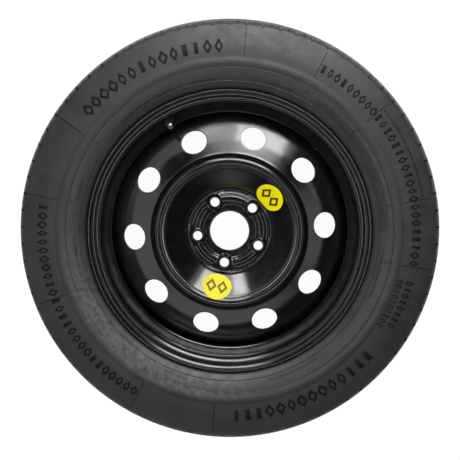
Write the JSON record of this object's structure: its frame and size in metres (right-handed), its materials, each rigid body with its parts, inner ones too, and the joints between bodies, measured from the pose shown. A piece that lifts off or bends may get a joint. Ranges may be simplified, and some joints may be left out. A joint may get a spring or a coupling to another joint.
{
  "type": "space saver spare wheel",
  "caption": "Narrow temporary-use car wheel: black pressed steel disc welded in a rolled rim, with slim tyre, snap-in valve and two round labels.",
  "frame": {"origin": "centre of the hub mounting face, on the wheel's axis", "axes": "+Z along the wheel's axis, outboard; +Y to 12 o'clock and +X to 3 o'clock as the outboard face is seen"},
  "size_m": [0.7108, 0.7108, 0.1579],
  "materials": {
    "tyre_rubber": "moulded rubber, dull with a faint sheen, dusty near the rim",
    "black_paint": "semi-gloss black stove enamel",
    "valve_rubber": "matt moulded rubber",
    "plated_brass": "nickel plate",
    "brass": "turned",
    "gasket": "plain",
    "spring_steel": "drawn wire",
    "yellow_vinyl": "printed vinyl film"
  },
  "bodies": {
    "wheel": {"tyre": "tyre_rubber", "rim": "black_paint", "disc": "black_paint", "rim_welds": "black_paint", "valve_rubber": "valve_rubber", "valve_stem": "plated_brass", "core_barrel": "brass", "core_gasket": "gasket", "core_spring": "spring_steel", "upper_label": "yellow_vinyl", "lower_label": "yellow_vinyl"},
    "valve_pin": {"core_pin": "brass", "core_cup": "brass", "core_seat_ring": "valve_rubber"}
  },
  "joints": [
    {"name": "valve_pin_press", "type": "slide", "parent": "wheel", "child": "valve_pin", "axis": [-0.1353, 0.2401, -0.9613], "range_m": [0, 0.0012], "stiffness_N_per_m": 1500, "springref_m": -0.002, "deforming": ["core_spring"]}
  ]
}
